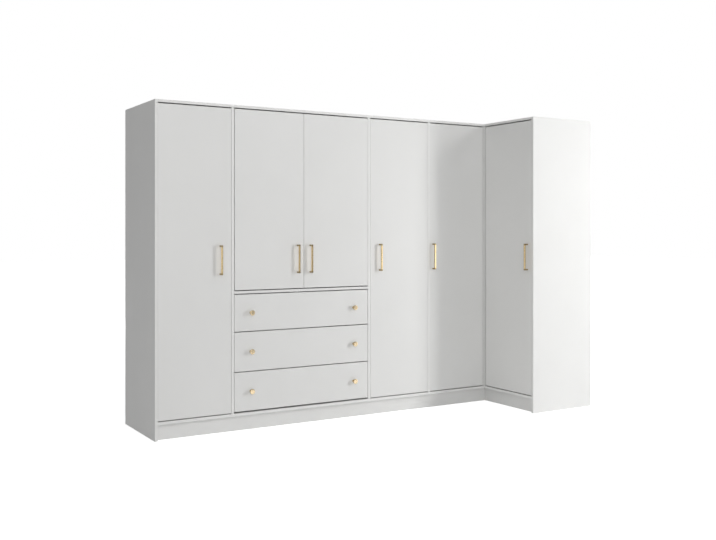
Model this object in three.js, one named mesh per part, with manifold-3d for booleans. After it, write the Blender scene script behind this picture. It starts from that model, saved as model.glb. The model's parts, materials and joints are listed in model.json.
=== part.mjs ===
// Corner wardrobe: a long run of three bays, a corner bay, and a wing that comes forward at the right.
// Millimetres, Z up. The long run's doors face -Y and the wing's door faces -X.
// The model is laid out from the long run's front left foot, then moved to the middle of its footprint.
import * as THREE from "three";
import { mergeVertices } from "three/addons/utils/BufferGeometryUtils.js";
import Module from "manifold-3d";

const wasm = await Module();
wasm.setup();

// Outer sizes
const overallHeight = 2000;
const cabinetDepth = 544;
const wingReach = 486;

// Bay widths, measured between the centres of the upright boards and from the outer faces
const leftBayWidth = 500;
const middleBayWidth = 1000;
const rightBayWidth = 500;
const cornerBayWidth = 500;

// Boards
const boardThickness = 18;
const topThickness = 16;
const middleShelfThickness = 16;
const backThickness = 8;
const backRecess = 3;
const plinthHeight = 94;
const plinthRecess = 30;
const fitGap = 0.3;
const cornerWeld = 0.001;

// Corner post: an L of two fins that carries the hinges of the corner door and the wing door
const postFinDepth = 80;
const postWingFace = 3;

// Fronts
const frontThickness = 18;
const frontGap = 3;
const frontFootGap = 6;
const frontHeadGap = 7;
const drawerGap = 5.6;
const lowerDrawerFootGap = 10.2;
const frontSetback = 1;

// Gaps beside the doors, where they differ from the fronts' usual gap
const leftDoorGaps = { hinge: 1, handle: 1.6 };
const middleLeftDoorGap = 5;
const middleRightDoorGap = 1.2;
const rightDoorGaps = { hinge: 1, handle: 2.3 };
const cornerDoorGaps = { hinge: 5, handle: 1 };

// Middle bay: the drawers below the fixed shelf
const middleShelfHeight = 844.6;
const lowerDrawerPitch = 248.3;
const centreDrawerPitch = 246.3;

// Loose shelves and rails
const hatSpace = 276;
const shelfSetback = 12;
const railDrop = 62;
const railRadius = 12.5;
const railWall = 1.5;
const flangeRadius = 22;
const flangeThickness = 5;
const bracketWidth = 24;
const bracketThickness = 5;
const bracketFootLength = 60;
const railSegments = 24;

// Handles
const handleLength = 180;
const handleBar = 10;
const handleReach = 31;
const handleHeight = 1053;
const wideHandleInset = 73;
const pairHandleInset = 45;
const cornerHandleInset = 24;
const wingHandleInset = 34;

// Knobs
const knobInset = 111;
const knobHeadRadius = 16;
const knobHeadThickness = 7;
const knobEdge = 1.5;
const knobFlareRadius = 12;
const knobFlareLength = 10;
const knobStemRadius = 6;
const knobStemLength = 7;
const knobRoseRadius = 9;
const knobRoseThickness = 2.5;
const knobSegments = 28;

// Hinges
const hingeInset = 100;
const hingePlateHeight = 50;
const hingePlateThickness = 3;
const hingeArmHeight = 17;
const hingeArmDepth = 12;
const hingeArmLength = 55;
const hingeNeck = 9;
const hingeShoulder = 22;
const hingeCupReach = 22;
const hingeGapLimit = 5;

// Drawer boxes and runners
const drawerBoxDepth = 480;
const drawerWall = 12;
const drawerFloor = 5;
const drawerDrop = 78;
const drawerLift = 22;
const runnerHeight = 46;
const runnerThickness = 12;
const runnerWeb = 2;
const runnerLip = 6;
const runnerLength = 450;
const runnerLift = 48;
const runnerStripLength = 60;
const runnerClearance = 0.5;

// Places along the long run
const leftDividerX = leftBayWidth;
const rightDividerX = leftDividerX + middleBayWidth;
const cornerDividerX = rightDividerX + rightBayWidth;
const innerCornerX = cornerDividerX + cornerBayWidth;
const overallWidth = innerCornerX + cabinetDepth;
const halfBoard = boardThickness / 2;

// Planes that the boards meet
const mainBackY = cabinetDepth - backRecess - backThickness;
const wingBackX = overallWidth - backRecess - backThickness;
const carcassBackY = mainBackY - fitGap;
const carcassRightX = wingBackX - fitGap;
const wingEndInnerY = boardThickness - wingReach;
const bottomTopZ = plinthHeight + boardThickness;
const topUndersideZ = overallHeight - topThickness;
const middleShelfTopZ = middleShelfHeight + middleShelfThickness;
const hatShelfZ = topUndersideZ - hatSpace - boardThickness;
const foldShelfZ = (middleShelfTopZ + topUndersideZ - boardThickness) / 2;
const frontFootZ = bottomTopZ + frontFootGap;
const frontHeadZ = topUndersideZ - frontHeadGap;
const shelfFrontY = frontSetback + frontThickness + shelfSetback;

// Materials
const boardMaterial = new THREE.MeshStandardMaterial({ color: 0xe8e8e4, roughness: 0.5, metalness: 0 });
const backMaterial = new THREE.MeshStandardMaterial({ color: 0xdededa, roughness: 0.7, metalness: 0 });
const goldMaterial = new THREE.MeshStandardMaterial({ color: 0xc3b291, roughness: 0.35, metalness: 1 });
const steelMaterial = new THREE.MeshStandardMaterial({ color: 0xb8babc, roughness: 0.35, metalness: 1 });

// The wardrobe group, moved so that its origin is under the middle of its footprint
const wardrobe = new THREE.Group();
wardrobe.position.set(-overallWidth / 2, (wingReach - cabinetDepth) / 2, 0);

// A box between two corners, whichever way round they are given
function boxGeometry([x0, x1], [y0, y1], [z0, z1]) {
  const box = new THREE.BoxGeometry(Math.abs(x1 - x0), Math.abs(y1 - y0), Math.abs(z1 - z0));
  return box.translate((x0 + x1) / 2, (y0 + y1) / 2, (z0 + z1) / 2);
}

function addPiece(parent, name, geometry, material) {
  const piece = new THREE.Mesh(geometry, material);
  piece.name = name;
  parent.add(piece);
  return piece;
}

function addBoard(parent, name, xs, ys, zs, material = boardMaterial) {
  return addPiece(parent, name, boxGeometry(xs, ys, zs), material);
}

// Solids for joining and cutting; corners closer than the weld are one corner
function solidOf(geometry) {
  const bare = geometry.clone();
  bare.deleteAttribute("normal");
  bare.deleteAttribute("uv");
  const merged = mergeVertices(bare, cornerWeld);
  const triVerts = new Uint32Array(merged.index.array);
  const vertProperties = new Float32Array(merged.attributes.position.array);
  return new wasm.Manifold(new wasm.Mesh({ numProp: 3, vertProperties, triVerts }));
}

function geometryOf(solid) {
  const mesh = solid.getMesh();
  const geometry = new THREE.BufferGeometry();
  geometry.setAttribute("position", new THREE.BufferAttribute(mesh.vertProperties, 3));
  geometry.setIndex(new THREE.BufferAttribute(mesh.triVerts, 1));
  const faceted = geometry.toNonIndexed();
  faceted.computeVertexNormals();
  return faceted;
}

function joined(geometries) {
  return geometryOf(geometries.map(solidOf).reduce((all, next) => all.add(next)));
}

// An outline in the XY plane, raised along Z
function prism(points, bottomZ, topZ) {
  const shape = new THREE.Shape(points.map(([x, y]) => new THREE.Vector2(x, y)));
  const raised = new THREE.ExtrudeGeometry(shape, { depth: topZ - bottomZ, bevelEnabled: false });
  return raised.translate(0, 0, bottomZ);
}

// Upright boards: the outer ends stand on the floor, the dividers between the bottom and top boards
function addUprights() {
  const carcassY = [0, carcassBackY];
  const standing = [0, overallHeight];
  const between = [bottomTopZ + fitGap, topUndersideZ - fitGap];
  addBoard(wardrobe, "left_side_panel", [0, boardThickness], [0, cabinetDepth], standing);
  const dividers = {
    left_divider: leftDividerX,
    right_divider: rightDividerX,
    corner_divider: cornerDividerX,
  };
  for (const [name, x] of Object.entries(dividers)) {
    addBoard(wardrobe, name, [x - halfBoard, x + halfBoard], carcassY, between);
  }
  const wingEndX = [innerCornerX, overallWidth];
  addBoard(wardrobe, "wing_end_panel", wingEndX, [-wingReach, wingEndInnerY], standing);
}

function addCornerPost() {
  const outline = [
    [innerCornerX - halfBoard, 0],
    [innerCornerX, 0],
    [innerCornerX, -postWingFace],
    [innerCornerX + postFinDepth, -postWingFace],
    [innerCornerX + postFinDepth, halfBoard],
    [innerCornerX + halfBoard, halfBoard],
    [innerCornerX + halfBoard, postFinDepth],
    [innerCornerX - halfBoard, postFinDepth],
  ];
  const post = prism(outline, bottomTopZ + fitGap, topUndersideZ - fitGap);
  addPiece(wardrobe, "corner_post", post, boardMaterial);
}

// Top and bottom boards of each run: the wing's boards butt against the long run's
function addTopsAndBottoms() {
  const mainX = [boardThickness + fitGap, carcassRightX];
  const mainY = [0, carcassBackY];
  const wingX = [innerCornerX, carcassRightX];
  const wingY = [wingEndInnerY + fitGap, -fitGap];
  addBoard(wardrobe, "main_top_panel", mainX, mainY, [topUndersideZ, overallHeight]);
  addBoard(wardrobe, "wing_top_panel", wingX, wingY, [topUndersideZ, overallHeight]);
  addBoard(wardrobe, "main_bottom_panel", mainX, mainY, [plinthHeight, bottomTopZ]);
  addBoard(wardrobe, "wing_bottom_panel", wingX, wingY, [plinthHeight, bottomTopZ]);
}

function addPlinths() {
  const plinthZ = [0, plinthHeight - fitGap];
  const wingFrontX = innerCornerX + plinthRecess;
  const wingX = [wingFrontX, wingFrontX + boardThickness];
  const mainX = [boardThickness + fitGap, wingFrontX + boardThickness];
  const mainY = [plinthRecess, plinthRecess + boardThickness];
  addBoard(wardrobe, "main_plinth", mainX, mainY, plinthZ);
  addBoard(wardrobe, "wing_plinth", wingX, [wingEndInnerY + fitGap, plinthRecess - fitGap], plinthZ);
}

// Backs run down to the floor, set in from the end panels' rear edges; the wing's covers the long one's end
function addBacks() {
  const backZ = [0, overallHeight];
  const mainX = [boardThickness + fitGap, carcassRightX];
  const mainY = [mainBackY, mainBackY + backThickness];
  addBoard(wardrobe, "main_back_panel", mainX, mainY, backZ, backMaterial);
  const wingX = [wingBackX, wingBackX + backThickness];
  const wingY = [wingEndInnerY + fitGap, mainBackY + backThickness];
  addBoard(wardrobe, "wing_back_panel", wingX, wingY, backZ, backMaterial);
}

// Clear width between two uprights, less the fit at both ends
const insideLeftBay = [boardThickness + fitGap, leftDividerX - halfBoard - fitGap];
const insideMiddleBay = [leftDividerX + halfBoard + fitGap, rightDividerX - halfBoard - fitGap];
const insideRightBay = [rightDividerX + halfBoard + fitGap, cornerDividerX - halfBoard - fitGap];
const insideCornerBay = [cornerDividerX + halfBoard + fitGap, carcassRightX - fitGap];

function addShelves() {
  const middleShelfZ = [middleShelfHeight, middleShelfTopZ];
  addBoard(wardrobe, "middle_shelf", insideMiddleBay, [0, carcassBackY], middleShelfZ);
  const looseY = [shelfFrontY, carcassBackY];
  const behindPostY = [postFinDepth + shelfSetback, carcassBackY];
  const shelves = [
    ["left_hat_shelf", insideLeftBay, looseY, hatShelfZ],
    ["middle_fold_shelf", insideMiddleBay, looseY, foldShelfZ],
    ["right_hat_shelf", insideRightBay, looseY, hatShelfZ],
    ["corner_hat_shelf", insideCornerBay, behindPostY, hatShelfZ],
  ];
  for (const [name, xs, ys, z] of shelves) {
    addBoard(wardrobe, name, xs, ys, [z, z + boardThickness]);
  }
}

// An open tube along X with a flange at its left end, and one at its right end unless a bracket hangs it
function railGeometry(length, hasRightFlange) {
  const bore = railRadius - railWall;
  const profile = [
    [bore, 0],
    [flangeRadius, 0],
    [flangeRadius, flangeThickness],
    [railRadius, flangeThickness],
  ];
  if (hasRightFlange) {
    profile.push([railRadius, length - flangeThickness]);
    profile.push([flangeRadius, length - flangeThickness]);
    profile.push([flangeRadius, length]);
  } else {
    profile.push([railRadius, length]);
  }
  profile.push([bore, length], [bore, 0]);
  const points = profile.map(([radius, along]) => new THREE.Vector2(radius, along));
  return new THREE.LatheGeometry(points, railSegments).rotateZ(-Math.PI / 2);
}

// A flat strap that hangs the rail's free end from the shelf above it, with a foot under the shelf
function railBracket(length, drop) {
  const halfWidth = bracketWidth / 2;
  const strapTopZ = drop - fitGap;
  const strapX = [length - bracketThickness, length];
  const strap = boxGeometry(strapX, [-halfWidth, halfWidth], [-railRadius - bracketThickness, strapTopZ]);
  const footX = [length - bracketFootLength, length];
  const foot = boxGeometry(footX, [-halfWidth, halfWidth], [strapTopZ - bracketThickness, strapTopZ]);
  return [strap, foot];
}

function addRails() {
  const railY = (shelfFrontY + carcassBackY) / 2;
  const railZ = hatShelfZ - railDrop;
  const rails = { left_hanging_rail: insideLeftBay, right_hanging_rail: insideRightBay };
  for (const [name, [from, to]] of Object.entries(rails)) {
    const rail = addPiece(wardrobe, name, railGeometry(to - from, true), steelMaterial);
    rail.position.set(from, railY, railZ);
  }
  const [cornerFrom, cornerTo] = insideCornerBay;
  const cornerLength = cornerTo - cornerFrom - bracketFootLength;
  const cornerPieces = [railGeometry(cornerLength, false), ...railBracket(cornerLength, railDrop)];
  const cornerRail = addPiece(wardrobe, "corner_hanging_rail", joined(cornerPieces), steelMaterial);
  cornerRail.position.set(cornerFrom, railY, railZ);
}

// A square-bar D pull, its back at y = 0 and its bar towards -Y, centred on its own height
function handleGeometry() {
  const half = handleLength / 2;
  const inner = half - handleBar;
  const outline = [
    [0, -half],
    [handleReach, -half],
    [handleReach, half],
    [0, half],
    [0, inner],
    [handleReach - handleBar, inner],
    [handleReach - handleBar, -inner],
    [0, -inner],
  ];
  const outward = new THREE.Vector3(0, -1, 0);
  const up = new THREE.Vector3(0, 0, 1);
  const across = new THREE.Vector3().crossVectors(outward, up);
  const turned = new THREE.Matrix4().makeBasis(outward, up, across);
  return prism(outline, -handleBar / 2, handleBar / 2).applyMatrix4(turned);
}

// A concealed hinge's plate and arm, in the door's own frame with the hinge edge at x = 0.
// The plate lies on the upright beside the door, across the gap, and the arm's end reaches the back of
// the door. Where the gap is wide, the plate is thicker.
function hingeGeometry(side, gap) {
  const wallX = fitGap - gap;
  const armX = fitGap - Math.min(gap, hingeGapLimit) + hingePlateThickness;
  const nearY = frontThickness + fitGap;
  const farY = nearY + hingeArmLength;
  const halfPlate = hingePlateHeight / 2;
  const halfArm = hingeArmHeight / 2;
  const plateNearY = nearY + hingeNeck;
  const plate = boxGeometry([side * wallX, side * armX], [plateNearY, farY], [-halfPlate, halfPlate]);
  const outline = [
    [wallX, nearY],
    [armX + hingeCupReach, nearY],
    [armX + hingeCupReach, nearY + hingeNeck],
    [armX + hingeArmDepth, nearY + hingeShoulder],
    [armX + hingeArmDepth, farY],
    [wallX, farY],
  ].map(([x, y]) => [side * x, y]);
  return joined([plate, prism(outline, -halfArm, halfArm)]);
}

// One door with its handle and two hinges. The frame's origin is the front corner at the hinge edge,
// x runs along the front, and side is 1 for a door hinged at its left and -1 for one hinged at its right.
function addDoor({ number, hingeX, hingeY, turn = 0, side, gap, width, footZ, handleInset }) {
  const frame = new THREE.Group();
  frame.position.set(hingeX, hingeY, 0);
  frame.rotation.z = turn;
  wardrobe.add(frame);
  addBoard(frame, "door_" + number, [0, side * width], [0, frontThickness], [footZ, frontHeadZ]);
  const handle = addPiece(frame, "handle_" + number, handleGeometry(), goldMaterial);
  handle.position.set(side * (width - handleInset), -fitGap, handleHeight);
  const hingeHeights = { lower: footZ + hingeInset, upper: frontHeadZ - hingeInset };
  for (const [place, z] of Object.entries(hingeHeights)) {
    const hinge = addPiece(frame, `hinge_${number}_${place}`, hingeGeometry(side, gap), steelMaterial);
    hinge.position.z = z;
  }
}

function addDoors() {
  const wingDoorY = -halfBoard - frontGap;
  const leftDoorX = boardThickness + leftDoorGaps.hinge;
  const leftDoorWidth = leftDividerX - halfBoard - leftDoorGaps.handle - leftDoorX;
  const pairRoom = (middleBayWidth - frontGap) / 2 - halfBoard;
  const rightDoorWidth = rightBayWidth - boardThickness - rightDoorGaps.hinge - rightDoorGaps.handle;
  const cornerDoorWidth = cornerBayWidth - boardThickness - cornerDoorGaps.hinge - cornerDoorGaps.handle;
  const long = { hingeY: frontSetback, footZ: frontFootZ, handleInset: wideHandleInset };
  const short = {
    hingeY: frontSetback,
    footZ: middleShelfTopZ + frontFootGap,
    handleInset: pairHandleInset,
  };
  const doors = [
    { ...long, hingeX: leftDoorX, side: 1, gap: leftDoorGaps.hinge, width: leftDoorWidth },
    {
      ...short,
      hingeX: leftDividerX + halfBoard + middleLeftDoorGap,
      side: 1,
      gap: middleLeftDoorGap,
      width: pairRoom - middleLeftDoorGap,
    },
    {
      ...short,
      hingeX: rightDividerX - halfBoard - middleRightDoorGap,
      side: -1,
      gap: middleRightDoorGap,
      width: pairRoom - middleRightDoorGap,
    },
    {
      ...long,
      hingeX: cornerDividerX - halfBoard - rightDoorGaps.hinge,
      side: -1,
      gap: rightDoorGaps.hinge,
      width: rightDoorWidth,
    },
    {
      ...long,
      hingeX: innerCornerX - halfBoard - cornerDoorGaps.hinge,
      side: -1,
      gap: cornerDoorGaps.hinge,
      width: cornerDoorWidth,
      handleInset: cornerHandleInset,
    },
    {
      hingeX: innerCornerX + frontSetback,
      hingeY: wingDoorY,
      turn: -Math.PI / 2,
      side: 1,
      gap: -wingDoorY - postWingFace,
      width: wingDoorY - wingEndInnerY - frontGap,
      footZ: frontFootZ,
      handleInset: wingHandleInset,
    },
  ];
  doors.forEach((door, index) => addDoor({ number: index + 1, ...door }));
}

// A turned knob: rose against the front, stem, flare, and a head with eased edges, pointing to -Y
function knobGeometry() {
  const flareStart = knobRoseThickness + knobStemLength;
  const headStart = flareStart + knobFlareLength;
  const headEnd = headStart + knobHeadThickness;
  const profile = [
    [0, 0],
    [knobRoseRadius, 0],
    [knobRoseRadius, knobRoseThickness],
    [knobStemRadius, knobRoseThickness],
    [knobStemRadius, flareStart],
    [knobFlareRadius, headStart],
    [knobHeadRadius - knobEdge, headStart],
    [knobHeadRadius, headStart + knobEdge],
    [knobHeadRadius, headEnd - knobEdge],
    [knobHeadRadius - knobEdge, headEnd],
    [0, headEnd],
  ];
  const points = profile.map(([radius, along]) => new THREE.Vector2(radius, along));
  return new THREE.LatheGeometry(points, knobSegments).rotateX(Math.PI);
}

// A drawer box open at the top
function drawerBoxGeometry(width, height) {
  const half = width / 2;
  const inner = half - drawerWall;
  const outside = solidOf(boxGeometry([-half, half], [0, drawerBoxDepth], [0, height]));
  const hollowY = [drawerWall, drawerBoxDepth - drawerWall];
  const hollow = solidOf(boxGeometry([-inner, inner], hollowY, [drawerFloor, height + drawerWall]));
  return geometryOf(outside.subtract(hollow));
}

// The drawer fronts' heights: two named pitches, and the top front takes what is left under the shelf
const drawerFootZ = [
  bottomTopZ + lowerDrawerFootGap,
  frontFootZ + lowerDrawerPitch,
  frontFootZ + lowerDrawerPitch + centreDrawerPitch,
];
const drawerHeadZ = [drawerFootZ[1], drawerFootZ[2], middleShelfHeight].map((z) => z - drawerGap);

function addDrawers() {
  const centreX = leftDividerX + middleBayWidth / 2;
  const halfFront = middleBayWidth / 2 - halfBoard - frontGap;
  const runnerRoom = fitGap + runnerThickness + runnerClearance;
  const boxWidth = middleBayWidth - boardThickness - 2 * runnerRoom;
  drawerFootZ.forEach((footZ, index) => {
    const number = index + 1;
    const height = drawerHeadZ[index] - footZ;
    const frame = new THREE.Group();
    frame.position.set(centreX, frontSetback, footZ);
    wardrobe.add(frame);
    addBoard(frame, "drawer_front_" + number, [-halfFront, halfFront], [0, frontThickness], [0, height]);
    const tray = drawerBoxGeometry(boxWidth, height - drawerDrop);
    const box = addPiece(frame, "drawer_box_" + number, tray, boardMaterial);
    box.position.set(0, frontThickness + fitGap, drawerLift);
    for (const [place, side] of Object.entries({ left: -1, right: 1 })) {
      const knob = addPiece(frame, `knob_${number}_${place}`, knobGeometry(), goldMaterial);
      knob.position.set(side * (halfFront - knobInset), -fitGap, height / 2);
    }
  });
}

// Three drawer runners on one mounting strip, for the face of an upright; side points into the bay
function runnerSetGeometry(side) {
  const half = runnerHeight / 2;
  const channel = [
    [0, -half],
    [runnerThickness, -half],
    [runnerThickness, runnerLip - half],
    [runnerWeb, runnerLip - half],
    [runnerWeb, half - runnerLip],
    [runnerThickness, half - runnerLip],
    [runnerThickness, half],
    [0, half],
  ].map(([across, up]) => [side * across, up]);
  const alongY = new THREE.Matrix4().makeBasis(
    new THREE.Vector3(1, 0, 0),
    new THREE.Vector3(0, 0, 1),
    new THREE.Vector3(0, -1, 0),
  );
  const heights = drawerFootZ.map((footZ) => footZ + runnerLift);
  const channels = heights.map((z) => {
    return prism(channel, -runnerLength, 0).applyMatrix4(alongY).translate(0, 0, z);
  });
  const stripY = [(runnerLength - runnerStripLength) / 2, (runnerLength + runnerStripLength) / 2];
  const strip = boxGeometry([0, side * runnerWeb], stripY, [heights[0], heights[2]]);
  return joined([strip, ...channels]);
}

function addRunners() {
  const frontY = frontSetback + frontThickness + fitGap;
  const faces = {
    left: [leftDividerX + halfBoard + fitGap, 1],
    right: [rightDividerX - halfBoard - fitGap, -1],
  };
  for (const [place, [x, side]] of Object.entries(faces)) {
    const runners = addPiece(wardrobe, `runner_set_${place}`, runnerSetGeometry(side), steelMaterial);
    runners.position.set(x, frontY + shelfSetback, 0);
  }
}

addUprights();
addCornerPost();
addTopsAndBottoms();
addPlinths();
addBacks();
addShelves();
addRails();
addDoors();
addDrawers();
addRunners();

export default wardrobe;
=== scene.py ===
"""Corner wardrobe: finishes, fittings, studio and camera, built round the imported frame. Metres, Z up."""
import json
import math

import bmesh
import bpy
from mathutils import Matrix, Vector

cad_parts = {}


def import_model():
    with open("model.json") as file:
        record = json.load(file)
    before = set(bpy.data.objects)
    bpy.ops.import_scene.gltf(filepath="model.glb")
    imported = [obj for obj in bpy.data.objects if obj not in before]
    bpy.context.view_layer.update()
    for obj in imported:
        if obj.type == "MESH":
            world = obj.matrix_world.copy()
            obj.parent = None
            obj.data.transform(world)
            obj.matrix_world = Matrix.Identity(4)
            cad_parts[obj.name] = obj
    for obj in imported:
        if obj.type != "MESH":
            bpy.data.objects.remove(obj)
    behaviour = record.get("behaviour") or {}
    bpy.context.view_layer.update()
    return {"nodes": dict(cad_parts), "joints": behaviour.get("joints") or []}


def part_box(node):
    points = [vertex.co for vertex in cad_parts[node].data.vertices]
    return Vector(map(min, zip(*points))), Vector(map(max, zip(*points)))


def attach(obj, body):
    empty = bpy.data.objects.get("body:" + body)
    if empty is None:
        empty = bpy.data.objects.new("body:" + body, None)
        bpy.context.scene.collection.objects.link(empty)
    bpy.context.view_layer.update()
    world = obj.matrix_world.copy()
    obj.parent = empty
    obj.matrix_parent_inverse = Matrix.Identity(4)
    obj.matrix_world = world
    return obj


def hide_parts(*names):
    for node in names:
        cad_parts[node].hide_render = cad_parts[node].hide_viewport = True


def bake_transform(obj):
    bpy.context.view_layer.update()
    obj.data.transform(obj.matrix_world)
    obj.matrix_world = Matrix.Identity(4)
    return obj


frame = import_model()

# The photograph's frame and its camera, in pixels
PHOTO_WIDTH_PX = 716
PHOTO_HEIGHT_PX = 540
FOCAL_PX = 871.34
CENTRE_X_PX = 293.0
HORIZON_Y_PX = 230.874

# Where the camera stands, how far it is turned to the right, and its sensor's width
CAMERA_PLACE = (-3.28275, -4.85558, 1.23012)
CAMERA_TURN = math.radians(29.0474)
SENSOR_WIDTH_MM = 36.0

# Directions and plain colours
UP = Vector((0, 0, 1))
RIGHT = Vector((1, 0, 0))
BACKWARD = Vector((0, 1, 0))
WHITE = (1.0, 1.0, 1.0, 1.0)
BLACK = (0.0, 0.0, 0.0, 1.0)

# Studio: the light from all round, and each lamp's place, aim, width and height, and watts
AMBIENT_STRENGTH = 0.11
LAMPS = {
    "key": ((3.821, -3.329, 1.5), (0.6, 0.0, 1.2), (0.9, 1.5), 78.0),
    "high": ((3.821, -3.329, 3.4), (0.6, 0.0, 1.6), (0.8, 1.1), 43.0),
    "front": ((-4.5, -6.0, 3.1), (-0.6, 0.0, 1.0), (3.0, 2.4), 110.0),
    "fill": ((-2.0, -6.0, 3.1), (-0.3, 0.0, 1.0), (2.5, 2.4), 40.0),
    "top": ((-0.3, -2.0, 6.0), (-0.3, -0.6, 0.0), (6.0, 4.0), 60.0),
    "rear": ((1.5, 6.5, 2.6), (0.4, 0.5, 1.0), (5.0, 3.0), 100.0),
}
LAMPS_OUT_OF_GLOSS = ("key", "high")

# Cards in front of the doors that only reflections see: middle, width and height, and glow
CARDS = {
    "grey_card": ((0.75, -2.5, 1.1), (1.5, 2.4), 0.25),
    "bright_card": ((2.45, -2.5, 1.1), (1.1, 2.4), 2.2),
}

# Floor: how far it reaches, and how brightly it shows close by and far off
FLOOR_HALF = 30.0
FLOOR_NEAR = 3.5
FLOOR_FAR = 9.0
FLOOR_GLOW_NEAR = 0.72
FLOOR_GLOW_FAR = 1.0
FLOOR_COLOUR = (0.92, 0.92, 0.92, 1.0)

# White board: its face from shade to light, its flecks, its edge band, and painted shade on the line where
# the two meet, which darkens the gaps between boards
BOARD_SHADE = (0.795, 0.795, 0.783, 1.0)
BOARD_LIGHT = (0.818, 0.818, 0.807, 1.0)
BOARD_FLECK = (0.77, 0.77, 0.757, 1.0)
BOARD_BAND = (0.830, 0.830, 0.818, 1.0)
BOARD_GAP_SHADE = (0.62, 0.62, 0.60, 1.0)
BOARD_ROUGH = (0.36, 0.46)
BOARD_SPECULAR = 0.42
BAND_GLOSS = 0.06
FLECK_SHARE = 0.25
GAP_SHADE_STRENGTH = 1.2

# Fibreboard: its white face and its brown core, each from shade to light
FACE_SHADE = (0.735, 0.735, 0.715, 1.0)
FACE_LIGHT = (0.77, 0.77, 0.752, 1.0)
CORE_SHADE = (0.30, 0.205, 0.125, 1.0)
CORE_LIGHT = (0.47, 0.345, 0.225, 1.0)
FACE_ROUGH = (0.55, 0.72)
CORE_ROUGH = 0.9

# Gold: the brushed bars from trough to crest, painted shade at their ends, and the knobs' sides in painted
# shade and their faces in painted highlight
GOLD_LOW = (0.74, 0.56, 0.30, 1.0)
GOLD_HIGH = (0.84, 0.665, 0.395, 1.0)
GOLD_CLOUD = (0.86, 0.695, 0.44, 1.0)
GOLD_PAINTED_SHADE = (0.27, 0.205, 0.105, 1.0)
GOLD_SIDE_SHADE = (0.37, 0.285, 0.150, 1.0)
GOLD_LIT_FACE_LOW = (0.75, 0.60, 0.38, 1.0)
GOLD_LIT_FACE_HIGH = (0.82, 0.67, 0.455, 1.0)
GOLD_CLOUD_SHARE = 0.3
BAR_MIDDLE_SHARE = 0.5
BAR_SHADE_SHARES = (0.43, 0.455)
BAR_END_SHADE_SHARE = 0.8
BAR_ROUGH = (0.20, 0.30)
KNOB_ROUGH = (0.20, 0.32)
KNOB_LIT_FACE_TURN = (0.75, 0.95)

# Other metal and plastic: colour, and roughness from its smoothest to its roughest
NICKEL = ((0.66, 0.66, 0.65, 1.0), (0.23, 0.31))
ZINC = ((0.60, 0.61, 0.62, 1.0), (0.33, 0.41))
WHITE_PLASTIC = ((0.80, 0.80, 0.785, 1.0), (0.37, 0.47))
BLACK_PLASTIC = ((0.028, 0.028, 0.03, 1.0), (0.45, 0.55))
METAL_DARK_SHARE = 0.93
PLASTIC_DARK_SHARE = 0.9

# Noise: cells to the metre, levels of detail and, for a grain, how each axis is stretched
BOARD_CLOUD_NOISE = (2.2, 3)
BOARD_FLECK_NOISE = (420, 2)
BOARD_GLOSS_NOISE = (160, 3)
BOARD_PEBBLE_NOISE = (650, 2)
BOARD_WAVE_NOISE = (9, 2)
FACE_CLOUD_NOISE = (5, 4)
FACE_ROUGH_NOISE = (240, 3)
FIBRE_NOISE = (700, 4, (1, 1, 0.25))
STREAK_NOISE = (2600, 3, (1, 1, 0.02))
GOLD_CLOUD_NOISE = (38, 2)
RING_NOISE = (3200, 2)
MOTTLE_NOISE = (130, 4)
METAL_NOISE = (900, 2)
PLASTIC_NOISE = (1400, 2)

# What a remapped value runs between: noise, 0 to 1, and a board's turn from its edge to its face
NOISE_SPAN = (0.3, 0.7)
WHOLE_SPAN = (0, 1)
EDGE_TURN = (0.15, 0.85)

# Bumps: height in metres, and strength
PEBBLE_BUMP = (0.00003, 0.6)
WAVE_BUMP = (0.0004, 0.12)
FIBRE_BUMP = (0.00006, 0.5)
GOLD_BUMP = (0.00002, 0.5)
METAL_BUMP = (0.00001, 0.2)
PLASTIC_BUMP = (0.00004, 0.5)

# The colour mix node's sockets: factor, first and second colour, and the result
MIX_SOCKETS = (0, 6, 7)
MIX_RESULT = 2

# Edges
BOARD_EDGE_RADIUS = 0.0008
METAL_EDGE_RADIUS = 0.0009
FINE_EDGE_RADIUS = 0.0003
WELD_DISTANCE = 0.00001
FLAT_ANGLE = math.radians(1)
SHARP_ANGLE = math.radians(35)
BEVEL_STEPS = 2
ROUND_STEPS = 6

# What moves: the bodies of the doors, from the left, and of the drawers, from the floor up
DOOR_BODIES = (
    "left_door",
    "middle_left_door",
    "middle_right_door",
    "right_door",
    "corner_door",
    "wing_door",
)
DRAWER_BODIES = ("lower_drawer", "centre_drawer", "upper_drawer")

# A door's hinges: their places from the lowest to the highest, and how far in from its ends those are
TALL_HINGE_SHARES = (0.0, 1 / 3, 2 / 3, 1.0)
SHORT_HINGE_SHARES = (0.0, 0.38, 1.0)
HINGE_INSET = 0.1
TALL_DOOR = 1.5

# Each door's gap at its hinges, and the widest gap that a hinge spans without packing under its plate
HINGE_GAPS = (0.001, 0.005, 0.0012, 0.001, 0.005, 0.009)
HINGE_GAP_LIMIT = 0.005

# Hinge plate: across from the upright's face, deep from the door's back, and up
PLATE_SEAT = 0.0003
PLATE_TOP = 0.0023
PLATE_NEAR = 0.027
PLATE_FAR = 0.071
PLATE_HALF_HEIGHT = 0.010
WING_NEAR = 0.038
WING_FAR = 0.056
WING_HALF_HEIGHT = 0.026
WING_ROUND = 0.007
PLATE_SCREW_UP = 0.016

# Hinge arm, seen from above
ARM_HALF_HEIGHT = 0.0078
ARM_HEEL = 0.069
ARM_HEEL_SLOPE = 0.009
ARM_HEEL_RISE = 0.0075
ARM_NECK = 0.030
ARM_RISE = 0.0122
ARM_CROOK = 0.015
ARM_CROOK_LOW = 0.0095
ARM_CROOK_HIGH = 0.0185
ARM_TOE = 0.0055
ARM_NOSE_LOW = 0.0135
ARM_NOSE_HIGH = 0.0198
ARM_ROUND = 0.004
ARM_SCREWS = (0.040, 0.060)
ARM_SLOT_HALF = 0.0052
ARM_SLOT_DEPTH = 0.0008

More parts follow.
